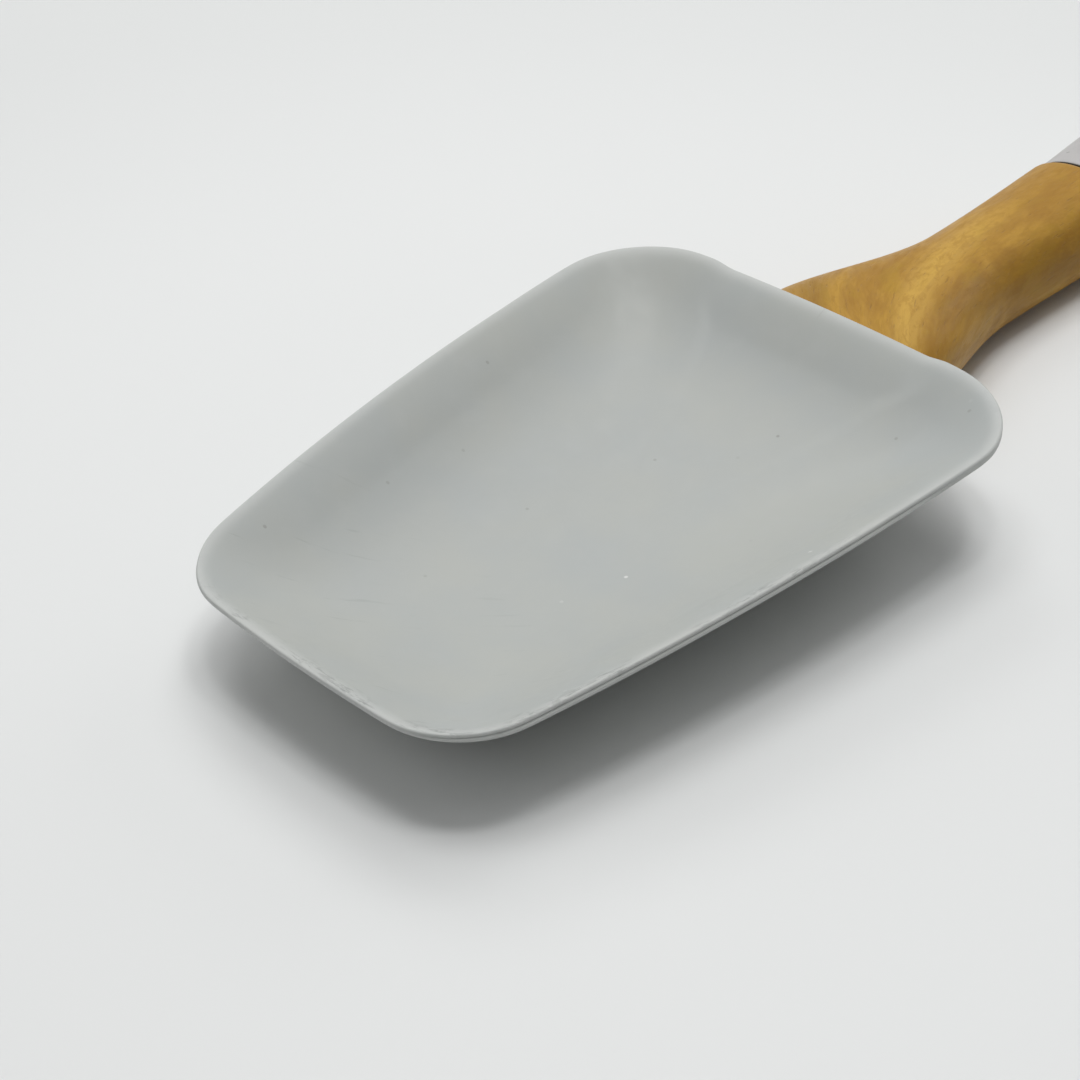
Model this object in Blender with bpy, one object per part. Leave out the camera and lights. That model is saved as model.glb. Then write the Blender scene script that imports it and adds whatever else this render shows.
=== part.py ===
"""Cooking spoon: a silicone scoop moulded on a stiff core, a wooden neck and a soft rear grip.

Metres, +Z up. The spoon lies on the plane z = 0 as it does on a table, along X, with the tip
of the scoop towards -X and the end of the grip towards +X. Its middle is over the origin.
"""
import math

import bmesh
import bpy
from mathutils import Matrix, Vector

# Scoop, measured along its rim
HEAD_LENGTH = 0.0909
SHOULDER_WIDTH = 0.0700
TIP_WIDTH = 0.0483
TIP_CORNER_RADIUS = 0.0102
SHOULDER_CORNER_RADIUS = 0.0120
SIDE_BOW = 0.0027
TIP_BOW = 0.0014
SIDE_RISE = 0.0005
EDGE_CROWN = 0.0012
REAR_SAG = 0.0005
REAR_SAG_REACH = 0.0200
REAR_SAG_EASE = 0.0080
BOWL_DEPTH = 0.0113
RIM_THICKNESS = 0.0012
RIM_PITCH = math.radians(2.2)
REST_FLAT = 0.00025

# Silicone skin and the stiff core inside it
SKIN_WALL = 0.0009
CORE_THICKNESS = 0.0020
CORE_MARGIN = 0.0075
KEY_HOLE_RADIUS = 0.0025
KEY_HOLE_SPACING_X = 0.0240
KEY_HOLE_SPACING_Y = 0.0240
KEEL_LENGTH = 0.0360
KEEL_NOSE_WIDTH = 0.0120
BOSS_SETBACK = 0.0090
COLLAR_REACH = 0.0024

# Wooden neck
WOOD_LENGTH = 0.0580
FLARE_WIDTH = 0.0288
FLARE_HEIGHT = 0.0132
FLARE_LIFT = 0.0015
NECK_DISTANCE = 0.0334
NECK_WIDTH = 0.0175
NECK_HEIGHT = 0.0138
NECK_LIFT = 0.0001

# Rear grip
GRIP_LENGTH = 0.1320
BELLY_DISTANCE = 0.0230
BELLY_WIDTH = 0.0210
BELLY_HEIGHT = 0.0148
TAIL_WIDTH = 0.0195
TAIL_HEIGHT = 0.0122
TAIL_LIFT = 0.0015
TAIL_ROUND = 0.0100
SLEEVE_WALL = 0.0016
HANG_HOLE_RADIUS = 0.0035
HANG_HOLE_SETBACK = 0.0115
HANG_LAND_WIDTH = 0.0030
HANG_LAND_DEPTH = 0.0004
GASKET_THICKNESS = 0.0008

# Rod, tenons and pin that hold the pieces in line
ROD_RADIUS = 0.0025
ROD_SOCKET_DEPTH = 0.0090
ROD_GRIP_REACH = 0.0450
ROD_GROOVE_DEPTH = 0.0004
ROD_GROOVE_PITCH = 0.0022
TENON_WIDTH = 0.0112
TENON_HEIGHT = 0.0078
TENON_LENGTH = 0.0120
PIN_RADIUS = 0.0009
PIN_SETBACK = 0.0070
PIN_RECESS = 0.0005

# Clearance left between pieces that touch, and how finely the shapes are stepped
FIT_GAP = 0.0003
CUT_PAST = 0.0010
BOWL_POWER = 2.2
WALL_SHARE = 0.9
INWARD_BLUR = 0.0095
FLARE_SQUARENESS = 2.8
NECK_SQUARENESS = 2.3
CORNER_STEPS = 5
SECTION_STEPS = 24
ROUND_STEPS = 20
HALVINGS = 30
TAIL_SHARES = (0.30, 0.55, 0.75, 0.90, 0.975)

# Places along X that follow from the sizes above
REAR_LENGTH = COLLAR_REACH + FIT_GAP + WOOD_LENGTH + FIT_GAP + GRIP_LENGTH
OVERALL_LENGTH = TIP_BOW + HEAD_LENGTH + REAR_LENGTH
TIP_X = TIP_BOW - OVERALL_LENGTH / 2
COLLAR_X = TIP_X + HEAD_LENGTH + COLLAR_REACH
KEEL_X = COLLAR_X - KEEL_LENGTH
WOOD_X = COLLAR_X + FIT_GAP
NECK_X = TIP_X + HEAD_LENGTH + NECK_DISTANCE
SEAM_X = WOOD_X + WOOD_LENGTH
GRIP_X = SEAM_X + FIT_GAP
GRIP_CORE_X = GRIP_X + GASKET_THICKNESS + FIT_GAP
BELLY_X = GRIP_X + BELLY_DISTANCE
END_X = GRIP_X + GRIP_LENGTH
TAIL_X = END_X - TAIL_ROUND
HANG_HOLE_X = END_X - HANG_HOLE_SETBACK
ROD_FRONT_X = COLLAR_X - ROD_SOCKET_DEPTH
ROD_REAR_X = SEAM_X + ROD_GRIP_REACH
PIN_X = ROD_REAR_X - PIN_SETBACK
ROD_Z = NECK_LIFT + NECK_HEIGHT / 2

# How far out the core reaches, as a scale of the rim's outline, and the wall over it
CORE_REACH = 1 - CORE_MARGIN / (SHOULDER_WIDTH / 2)
CAVITY_REACH = CORE_REACH + FIT_GAP / (TIP_WIDTH / 2)
FULL_WALL = 2 * SKIN_WALL + CORE_THICKNESS + 2 * FIT_GAP
BOWL_CENTRE = Vector((HEAD_LENGTH / 2, 0.0))
BOWL_HALF_WIDTH = (TIP_WIDTH + SHOULDER_WIDTH) / 4 + SIDE_BOW


def ease(t):
    """Smooth step: level at both ends, from 0 to 1."""
    t = min(max(t, 0.0), 1.0)
    return t * t * (3 - 2 * t)


def between(x, stations):
    """Value at x of a curve through (place, value) stations, level at each of them."""
    if x <= stations[0][0]:
        return stations[0][1]
    for (x0, v0), (x1, v1) in zip(stations, stations[1:]):
        if x <= x1:
            return v0 + (v1 - v0) * ease((x - x0) / (x1 - x0))
    return stations[-1][1]


def corner_arc(before, corner, after, radius):
    """Points of the arc that rounds the corner between two straight edges."""
    u = (before - corner).normalized()
    v = (after - corner).normalized()
    half_angle = u.angle(v) / 2
    centre = corner + (u + v).normalized() * (radius / math.sin(half_angle))
    middle = (corner - centre).normalized() * radius
    sweep = math.pi / 2 - half_angle
    turns = [sweep * (2 * k / CORNER_STEPS - 1) for k in range(CORNER_STEPS + 1)]
    across = Vector((middle.y, -middle.x))
    return [centre + middle * math.cos(a) + across * math.sin(a) for a in turns]


def straight(start, end, steps):
    """Points inside a straight edge, without its ends."""
    return [start.lerp(end, k / steps) for k in range(1, steps)]


def rim_outline():
    """The rim seen from above: a trapezium with round corners, bowed sides and a bowed tip."""
    tip = Vector((0.0, 0.0))
    front = Vector((0.0, TIP_WIDTH / 2))
    shoulder = Vector((HEAD_LENGTH, SHOULDER_WIDTH / 2))
    rear = Vector((HEAD_LENGTH, 0.0))
    front_arc = corner_arc(tip, front, shoulder, TIP_CORNER_RADIUS)
    rear_arc = corner_arc(front, shoulder, rear, SHOULDER_CORNER_RADIUS)
    half = [tip] + straight(tip, front_arc[0], 3) + front_arc
    half += straight(front_arc[-1], rear_arc[0], 6) + rear_arc + straight(rear_arc[-1], rear, 3)
    half.append(rear)
    half = [bowed(p) for p in half]
    return half + [Vector((p.x, -p.y)) for p in reversed(half[1:-1])]


def bowed(p):
    """Swell a straight-sided outline's point outwards along the sides and the tip."""
    along = 2 * p.x / HEAD_LENGTH - 1
    half_width = TIP_WIDTH / 2 + (SHOULDER_WIDTH - TIP_WIDTH) / 2 * p.x / HEAD_LENGTH
    y = p.y + SIDE_BOW * (1 - along * along) * p.y / half_width
    front = max(0.0, 1 - 4 * p.x / HEAD_LENGTH)
    x = p.x - TIP_BOW * front * (1 - (2 * p.y / TIP_WIDTH) ** 2)
    return Vector((x, y))


def inward_at(p):
    """The way in from a rim point: the mean of the edges' normals, weighted by a bell curve."""
    total = Vector((0.0, 0.0))
    for a, b in zip(RIM, RIM[1:] + RIM[:1]):
        away = ((a + b) / 2 - p).length / INWARD_BLUR
        total += Vector((b.y - a.y, a.x - b.x)) * math.exp(-away * away / 2)
    return total.normalized()


def rim_height(p):
    """How far the rim stands above its level plane. It sags a little where it meets the boss."""
    along = 2 * p.x / HEAD_LENGTH - 1
    height = SIDE_RISE * (1 - along * along) - EDGE_CROWN * (2 * p.y / SHOULDER_WIDTH) ** 2
    return height - REAR_SAG * max(0.0, along) ** 8 * ease((REAR_SAG_REACH - abs(p.y)) / REAR_SAG_EASE)


def bowl_height(scale, rim_z):
    """Height of the bowl's upper face below the rim, on the outline drawn in by a scale."""
    return rim_z * scale * scale - BOWL_DEPTH * (1 - scale ** BOWL_POWER)


def wall(scale):
    """Thickness of the scoop: full over the core, then feathered out to the rim."""
    t = ease((scale - CAVITY_REACH) / (1 - CAVITY_REACH))
    return FULL_WALL + (RIM_THICKNESS - FULL_WALL) * t


def pitched(x, y, z):
    """Turn a point of the scoop about the tip, so that the rim rises towards the handle."""
    cos, sin = math.cos(RIM_PITCH), math.sin(RIM_PITCH)
    return Vector((TIP_X + x * cos - z * sin, y, x * sin + z * cos))


def drawn_in(p, inward, scale):
    """A rim point drawn in by a scale, which falls from 1 at the rim to 0 at the bowl's centre.

    Near the rim all points step in by the same distance, (1 - scale) times the half width.
    On the way they ease over to an ellipse about the centre that shrinks with the scale.
    """
    out = p - BOWL_CENTRE
    ellipse = 1 / math.hypot(out.x / BOWL_CENTRE.x, out.y / BOWL_HALF_WIDTH)
    stepped = p + inward * ((1 - scale) * BOWL_HALF_WIDTH)
    shrunk = BOWL_CENTRE + out * (ellipse * scale)
    return stepped.lerp(shrunk, ease((1 - scale) / WALL_SHARE))


def blade_ring(scale, drop):
    """The rim's outline drawn in by a scale, a given depth under the bowl's upper face."""
    ring = []
    for p, inward in zip(RIM, INWARD):
        q = drawn_in(p, inward, scale)
        ring.append(pitched(q.x, q.y, bowl_height(scale, rim_height(p)) - drop))
    return ring


RIM = rim_outline()
INWARD = [inward_at(p) for p in RIM]
BLADE_SCALES = (0.14, 0.3, 0.45, 0.58, 0.7, CAVITY_REACH, 0.86, 0.91, 0.96, 1.0)
CORE_SCALES = (0.17, 0.36, 0.55, 0.73, 0.88, 1.0)
LOWEST = min(p.z for s in BLADE_SCALES for p in blade_ring(s, wall(s)))
BLADE_LIFT = -LOWEST - REST_FLAT


def lifted(ring):
    """Set a ring of the scoop at its height over the table, flattened where it touches."""
    return [Vector((p.x, p.y, max(p.z + BLADE_LIFT, 0.0))) for p in ring]


def bowl_top(x):
    """Height over the table of the bowl's upper face, on the middle line behind its centre.

    The scale of the ring that passes through x is found by halving its range.
    """
    rear = Vector((HEAD_LENGTH, 0.0))
    low, high = 0.0, 1.0
    for _ in range(HALVINGS):
        scale = (low + high) / 2
        if drawn_in(rear, Vector((-1.0, 0.0)), scale).x < x - TIP_X:
            low = scale
        else:
            high = scale
    return pitched(x - TIP_X, 0.0, bowl_height(scale, rim_height(rear))).z + BLADE_LIFT


def oval(x, half_width, bottom, top, squareness):
    """A ring across X: an oval that gets squarer as its power grows, flat on the table."""
    ring = []
    for k in range(SECTION_STEPS):
        a = 2 * math.pi * (k + 0.5) / SECTION_STEPS
        c, s = math.cos(a), math.sin(a)
        y = half_width * math.copysign(abs(c) ** (2 / squareness), c)
        z = (top - bottom) / 2 * math.copysign(abs(s) ** (2 / squareness), s)
        ring.append(Vector((x, y, max((top + bottom) / 2 + z, 0.0))))
    return ring


def circle(x, radius):
    """A ring across X round the rod's axis."""
    ring = []
    for k in range(ROUND_STEPS):
        a = 2 * math.pi * (k + 0.5) / ROUND_STEPS
        ring.append(Vector((x, radius * math.cos(a), ROD_Z + radius * math.sin(a))))
    return ring


def handle_ring(x, inset):
    """The handle's outline at x, drawn in by a wall thickness."""
    width = between(x, [(COLLAR_X, FLARE_WIDTH), (NECK_X, NECK_WIDTH),
                        (BELLY_X, BELLY_WIDTH), (TAIL_X, TAIL_WIDTH)])
    height = between(x, [(COLLAR_X, FLARE_HEIGHT), (NECK_X, NECK_HEIGHT),
                         (BELLY_X, BELLY_HEIGHT), (TAIL_X, TAIL_HEIGHT)])
    lift = between(x, [(COLLAR_X, FLARE_LIFT), (NECK_X, NECK_LIFT),
                       (BELLY_X, -REST_FLAT), (TAIL_X, TAIL_LIFT)])
    squareness = between(x, [(COLLAR_X, FLARE_SQUARENESS), (NECK_X, NECK_SQUARENESS)])
    return oval(x, width / 2 - inset, lift + inset, lift + height - inset, squareness)


def tail_ring(share, inset):
    """The grip's rounded end: share grows from 0, where the rounding starts, to its last ring."""
    x = TAIL_X + (TAIL_ROUND - inset) * share / TAIL_SHARES[-1]
    round_off = math.sqrt(1 - share * share)
    half_height = (TAIL_HEIGHT / 2 - inset) * math.sqrt(round_off)
    middle = TAIL_LIFT + TAIL_HEIGHT / 2
    half_width = (TAIL_WIDTH / 2 - inset) * round_off
    return oval(x, half_width, middle - half_height, middle + half_height, NECK_SQUARENESS)


def grip_rings(start, inset):
    """Rings of the grip from a starting place to its rounded end."""
    steps = 11
    rings = [handle_ring(start + (TAIL_X - start) * k / steps, inset) for k in range(steps + 1)]
    return rings + [tail_ring(share, inset) for share in TAIL_SHARES]


def keel_ring(x, inset, headroom):
    """The boss under the rear of the bowl: it widens backwards until it meets the wood."""
    t = (x - KEEL_X) / KEEL_LENGTH
    half_width = (KEEL_NOSE_WIDTH + (FLARE_WIDTH - KEEL_NOSE_WIDTH) * math.sin(t * math.pi / 2)) / 2
    nose_bottom = bowl_top(KEEL_X) - FULL_WALL + FIT_GAP
    bottom = nose_bottom + (FLARE_LIFT - nose_bottom) * t
    top = min(FLARE_LIFT + FLARE_HEIGHT - inset, bowl_top(x) - headroom)
    squareness = NECK_SQUARENESS + (FLARE_SQUARENESS - NECK_SQUARENESS) * ease(t)
    return oval(x, half_width - inset, bottom + inset, top, squareness)


def keel_rings(first, last, inset, headroom):
    """Rings of the boss between two places."""
    steps = 7
    places = [first + (last - first) * k / steps for k in range(steps + 1)]
    return [keel_ring(min(x, COLLAR_X), inset, headroom) for x in places]


def loft(name, rings):
    """Skin a row of closed rings with the same number of points, and close both ends.

    The faces point outwards where the rings run right-handed about the way they follow.
    """
    bm = bmesh.new()
    loops = [[bm.verts.new(p) for p in ring] for ring in rings]
    for a, b in zip(loops, loops[1:]):
        for k in range(len(a)):
            bm.faces.new((a[k - 1], a[k], b[k], b[k - 1]))
    bm.faces.new(reversed(loops[0]))
    bm.faces.new(loops[-1])
    bmesh.ops.triangulate(bm, faces=bm.faces)
    return to_object(name, bm)


def rod(name, centre, axis, radius, length):
    """A plain cylinder along an axis, turned by half a facet so that its sides lie flat."""
    bm = bmesh.new()
    bmesh.ops.create_cone(bm, cap_ends=True, segments=ROUND_STEPS, radius1=radius,
                          radius2=radius, depth=length)
    turn = Vector((0, 0, 1)).rotation_difference(Vector(axis)).to_matrix()
    half_facet = Matrix.Rotation(math.pi / ROUND_STEPS, 3, "Z")
    bmesh.ops.rotate(bm, verts=bm.verts, matrix=turn @ half_facet)
    obj = to_object(name, bm)
    obj.location = centre
    return obj


def to_object(name, bm):
    """Turn a bmesh into a smooth-shaded object of the scene."""
    mesh = bpy.data.meshes.new(name)
    bm.to_mesh(mesh)
    bm.free()
    mesh.shade_smooth()
    mesh.set_sharp_from_angle(angle=math.radians(35))
    obj = bpy.data.objects.new(name, mesh)
    bpy.context.collection.objects.link(obj)
    return obj


def combine(obj, operation, tool):
    """Cut a tool out of an object, or join it on, and hide the tool."""
    modifier = obj.modifiers.new(tool.name, "BOOLEAN")
    modifier.operation = operation
    modifier.object = tool
    modifier.solver = "EXACT"
    tool.hide_render = True
    tool.display_type = "WIRE"
    return obj


def finish(obj, colour, roughness, metallic=0.0):
    """Give an object its own material and hang it on the spoon's empty."""
    material = bpy.data.materials.new(obj.name)
    material.use_nodes = True
    shader = material.node_tree.nodes["Principled BSDF"]
    shader.inputs["Base Color"].default_value = (*colour, 1.0)
    shader.inputs["Roughness"].default_value = roughness
    shader.inputs["Metallic"].default_value = metallic
    obj.data.materials.append(material)
    obj.parent = SPOON
    return obj


def key_hole(name, number, radius):
    """One of the four posts of silicone that key the skin through the core."""
    side_x = (-1, 1)[number % 2]
    side_y = (-1, 1)[number // 2]
    x = TIP_X + BOWL_CENTRE.x + side_x * KEY_HOLE_SPACING_X / 2
    y = side_y * KEY_HOLE_SPACING_Y / 2
    length = 4 * BOWL_DEPTH
    return rod(f"{name}_{number}", Vector((x, y, 0.0)), (0, 0, 1), radius, length)


def core_plate(name, grow):
    """The dished plate in the middle of the wall, grown by a clearance for its cavity."""
    reach = CAVITY_REACH if grow else CORE_REACH
    drop = SKIN_WALL + FIT_GAP - grow
    scales = [s * reach for s in CORE_SCALES]
    upper = [lifted(blade_ring(s, drop)) for s in scales]
    lower = [lifted(blade_ring(s, FULL_WALL - drop)) for s in reversed(scales)]
    plate = loft(name, upper + lower)
    for number in range(4):
        combine(plate, "DIFFERENCE", key_hole(f"{name}_key", number, KEY_HOLE_RADIUS - grow))
    return plate


def core_boss(name, grow, past):
    """The block behind the plate that takes the rod, grown by a clearance for its cavity."""
    inset = SKIN_WALL + FIT_GAP - grow
    headroom = SKIN_WALL + FIT_GAP - grow + CORE_THICKNESS / 2
    nose = KEEL_X + BOSS_SETBACK - grow
    rings = keel_rings(nose, COLLAR_X, inset, headroom)
    if past:
        rings.append([p + Vector((past, 0, 0)) for p in rings[-1]])
    return loft(name, rings)


def tenon(name, first, last, grow):
    """The oval peg on the rod's axis that stops a piece turning in the wood."""
    half_width = TENON_WIDTH / 2 + grow
    half_height = TENON_HEIGHT / 2 + grow
    rings = [oval(x, half_width, ROD_Z - half_height, ROD_Z + half_height, NECK_SQUARENESS)
             for x in (first, last)]
    return loft(name, rings)


def bore(name, first, last, radius):
    """A round hole's cutter along the rod's axis."""
    centre = Vector(((first + last) / 2, 0.0, ROD_Z))
    return rod(name, centre, (1, 0, 0), radius, last - first)


def blade_skin():
    """Silicone scoop with its boss, moulded round the core."""
    upper = [lifted(blade_ring(s, 0.0)) for s in BLADE_SCALES]
    lower = [lifted(blade_ring(s, wall(s))) for s in reversed(BLADE_SCALES)]
    skin = loft("blade_skin", upper + lower)
    combine(skin, "UNION", loft("keel", keel_rings(KEEL_X, COLLAR_X, 0.0, SKIN_WALL / 2)))
    combine(skin, "DIFFERENCE", core_plate("plate_cavity", FIT_GAP))
    combine(skin, "DIFFERENCE", core_boss("boss_cavity", FIT_GAP, CUT_PAST))
    return finish(skin, (0.47, 0.48, 0.47), 0.62)


def blade_core():
    """Stiff nylon plate, boss and tenon in one moulding."""
    core = core_plate("blade_core", 0.0)
    combine(core, "UNION", core_boss("boss", 0.0, 0.0))
    peg = tenon("front_tenon", COLLAR_X - ROD_SOCKET_DEPTH / 2, WOOD_X + TENON_LENGTH, 0.0)
    combine(core, "UNION", peg)
    hole = bore("front_socket", ROD_FRONT_X - FIT_GAP, WOOD_X + TENON_LENGTH + CUT_PAST,
                ROD_RADIUS + FIT_GAP)
    combine(core, "DIFFERENCE", hole)
    return finish(core, (0.30, 0.31, 0.31), 0.50)


def tang_rod():
    """Stainless rod from the core through the wood into the grip, grooved at its front end."""
    groove = ROD_RADIUS - ROD_GROOVE_DEPTH
    rings = [circle(ROD_FRONT_X, groove), circle(ROD_FRONT_X + ROD_GROOVE_DEPTH, ROD_RADIUS)]
    for number in (1, 2, 3):
        x = ROD_FRONT_X + number * ROD_GROOVE_PITCH
        rings += [circle(x - ROD_GROOVE_DEPTH, ROD_RADIUS), circle(x, groove)]
        rings += [circle(x + ROD_GROOVE_DEPTH, groove), circle(x + 2 * ROD_GROOVE_DEPTH, ROD_RADIUS)]
    rings += [circle(ROD_REAR_X - ROD_GROOVE_DEPTH, ROD_RADIUS), circle(ROD_REAR_X, groove)]
    steel = loft("tang_rod", rings)
    cross = rod("rod_cross_hole", Vector((PIN_X, 0.0, ROD_Z)), (0, 1, 0),
                PIN_RADIUS + FIT_GAP, 4 * ROD_RADIUS)
    combine(steel, "DIFFERENCE", cross)
    return finish(steel, (0.60, 0.60, 0.62), 0.35, 1.0)


def wood_neck():
    """Turned and sanded wooden neck, bored for the rod and mortised at both ends."""
    steps = 14
    places = [WOOD_X + WOOD_LENGTH * k / steps for k in range(steps + 1)]
    wood = loft("wood_neck", [handle_ring(x, 0.0) for x in places])
    through = bore("wood_bore", WOOD_X - CUT_PAST, SEAM_X + CUT_PAST, ROD_RADIUS + FIT_GAP)
    combine(wood, "DIFFERENCE", through)
    depth = TENON_LENGTH + FIT_GAP
    front = tenon("front_mortise", WOOD_X - CUT_PAST, WOOD_X + depth, FIT_GAP)
    rear = tenon("rear_mortise", SEAM_X - depth, SEAM_X + CUT_PAST, FIT_GAP)
    combine(wood, "DIFFERENCE", front)
    combine(wood, "DIFFERENCE", rear)
    return finish(wood, (0.42, 0.24, 0.07), 0.55)


def seam_gasket():
    """Dark rubber washer that fills the sleeve's mouth between the wood and the grip."""
    inset = SLEEVE_WALL + FIT_GAP
    places = (GRIP_X, GRIP_X + GASKET_THICKNESS)
    gasket = loft("seam_gasket", [handle_ring(x, inset) for x in places])
    hole = tenon("gasket_hole", GRIP_X - CUT_PAST, GRIP_CORE_X + CUT_PAST, FIT_GAP)
    combine(gasket, "DIFFERENCE", hole)
    return finish(gasket, (0.03, 0.03, 0.03), 0.70)


def grip_core():
    """Stiff nylon core of the grip, with its tenon, the rod's socket and the pin's hole."""
    core = loft("grip_core", grip_rings(GRIP_CORE_X, SLEEVE_WALL + FIT_GAP))
    peg = tenon("rear_tenon", SEAM_X - TENON_LENGTH, GRIP_CORE_X + CUT_PAST, 0.0)
    combine(core, "UNION", peg)
    socket = bore("rear_socket", SEAM_X - TENON_LENGTH - CUT_PAST, ROD_REAR_X + FIT_GAP,
                  ROD_RADIUS + FIT_GAP)
    combine(core, "DIFFERENCE", socket)
    cross = rod("core_cross_hole", Vector((PIN_X, 0.0, ROD_Z)), (0, 1, 0),
                PIN_RADIUS + FIT_GAP, 2 * BELLY_WIDTH)
    combine(core, "DIFFERENCE", cross)
    clear = HANG_HOLE_RADIUS + SLEEVE_WALL + FIT_GAP
    combine(core, "DIFFERENCE", upright("core_hang_hole", clear, 0.0, 2 * BELLY_HEIGHT))
    return finish(core, (0.25, 0.25, 0.25), 0.50)


def upright(name, radius, bottom, top):
    """A cylinder that stands on the hang hole's axis."""
    centre = Vector((HANG_HOLE_X, 0.0, (bottom + top) / 2))
    return rod(name, centre, (0, 0, 1), radius, top - bottom)


def grip_sleeve():
    """Soft grey skin over the grip's core, which also lines the hang hole."""
    sleeve = loft("grip_sleeve", grip_rings(GRIP_X, 0.0))
    rings = grip_rings(GRIP_X, SLEEVE_WALL)
    rings.insert(0, [p - Vector((CUT_PAST, 0, 0)) for p in rings[0]])
    cavity = loft("sleeve_cavity", rings)
    lining = upright("hole_lining", HANG_HOLE_RADIUS + SLEEVE_WALL, -CUT_PAST, 2 * BELLY_HEIGHT)
    combine(cavity, "DIFFERENCE", lining)
    combine(sleeve, "DIFFERENCE", cavity)
    combine(sleeve, "DIFFERENCE", upright("hang_hole", HANG_HOLE_RADIUS, -CUT_PAST, 2 * BELLY_HEIGHT))
    land = HANG_HOLE_RADIUS + HANG_LAND_WIDTH
    tail_top = TAIL_LIFT + TAIL_HEIGHT
    upper = upright("upper_land", land, hang_top() - HANG_LAND_DEPTH, tail_top + BELLY_HEIGHT)
    lower = upright("lower_land", land, -BELLY_HEIGHT, hang_bottom() + HANG_LAND_DEPTH)
    combine(sleeve, "DIFFERENCE", upper)
    combine(sleeve, "DIFFERENCE", lower)
    return finish(sleeve, (0.47, 0.46, 0.45), 0.55)


def hang_top():
    """Height of the grip's top at the hang hole."""
    return max(p.z for p in handle_ring(HANG_HOLE_X, 0.0))


def hang_bottom():
    """Height of the grip's underside at the hang hole."""
    return min(p.z for p in handle_ring(HANG_HOLE_X, 0.0))


def rod_pin():
    """Steel pin across the grip's core that holds the rod, hidden under the sleeve."""
    half_width = max(p.y for p in handle_ring(PIN_X, SLEEVE_WALL + FIT_GAP))
    length = 2 * (half_width - PIN_RECESS)
    pin = rod("rod_pin", Vector((PIN_X, 0.0, ROD_Z)), (0, 1, 0), PIN_RADIUS, length)
    return finish(pin, (0.62, 0.62, 0.64), 0.30, 1.0)


for old in list(bpy.data.objects):
    bpy.data.objects.remove(old)

SPOON = bpy.data.objects.new("spoon", None)
bpy.context.collection.objects.link(SPOON)

blade_skin()
blade_core()
tang_rod()
wood_neck()
seam_gasket()
grip_core()
grip_sleeve()
rod_pin()
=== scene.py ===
"""A cooking spoon with a grey silicone scoop, a wooden neck and a soft grey rear grip.

Metres, +Z up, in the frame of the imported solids: the spoon lies on z = 0 along X, with the
tip of its scoop towards -X. Each section makes one piece: its sizes, surface and finish.
"""
import math

import bpy
import numpy as np
from mathutils import Matrix, Vector


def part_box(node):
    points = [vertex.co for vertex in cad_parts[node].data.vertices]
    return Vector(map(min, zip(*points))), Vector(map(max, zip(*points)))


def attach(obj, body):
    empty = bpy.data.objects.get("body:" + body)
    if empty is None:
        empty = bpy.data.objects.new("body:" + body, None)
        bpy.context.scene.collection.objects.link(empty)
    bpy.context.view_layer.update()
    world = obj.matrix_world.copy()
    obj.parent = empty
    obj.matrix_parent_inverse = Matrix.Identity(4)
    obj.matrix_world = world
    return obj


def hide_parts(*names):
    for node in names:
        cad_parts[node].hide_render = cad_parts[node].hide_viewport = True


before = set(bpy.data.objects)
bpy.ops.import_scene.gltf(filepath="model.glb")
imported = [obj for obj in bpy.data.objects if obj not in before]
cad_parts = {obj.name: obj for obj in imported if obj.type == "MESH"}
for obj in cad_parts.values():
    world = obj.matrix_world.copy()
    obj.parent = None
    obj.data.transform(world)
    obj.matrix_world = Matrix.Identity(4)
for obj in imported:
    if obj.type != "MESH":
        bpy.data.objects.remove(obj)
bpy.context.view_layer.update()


# Camera
# It looks down on the open side of the scoop from beyond the tip's right corner, with the
# neck running away to the upper right.
CAMERA_PLACE = Vector((-0.2504, -0.1542, 0.1696))
CAMERA_AIM = Vector((-0.0963, 0.0083, 0.0))
CAMERA_ROLL = math.radians(-2.45)
CAMERA_LENS = 73.4
SENSOR_WIDTH = 36.0

camera_data = bpy.data.cameras.new("camera")
camera_data.sensor_width = SENSOR_WIDTH
camera_data.lens = CAMERA_LENS
camera_data.clip_start = 0.01
camera = bpy.data.objects.new("camera", camera_data)
aimed = (CAMERA_AIM - CAMERA_PLACE).to_track_quat("-Z", "Y").to_matrix().to_4x4()
camera.matrix_world = Matrix.Translation(CAMERA_PLACE) @ aimed @ Matrix.Rotation(CAMERA_ROLL, 4, "Z")
bpy.context.collection.objects.link(camera)
bpy.context.scene.camera = camera
bpy.context.scene.view_settings.view_transform = "Standard"


# Table and light
# A pale matt table top in a room of even pale light. Soft round lamps hang overhead and round
# to the far rear, and two wide weak ones stand low past the grip and past the far side. Away
# from the spoon the table is painted a little greyer, as painted shade for the light's falloff,
# and far away it turns into the backdrop's colour.
TABLE_HALF = 6.0
TABLE_COLOUR = (0.752, 0.762, 0.758)
TABLE_FALLOFF_SHADE_COLOUR = (0.688, 0.699, 0.694)
TABLE_TURN_START = 0.080
TABLE_TURN_END = 0.200
BACKDROP_COLOUR = (0.740, 0.753, 0.746)
FADE_START = 0.26
FADE_END = 0.95
ROOM_STRENGTH = 0.213
LAMPS_AIM = Vector((-0.09, 0.0, 0.0))
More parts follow.
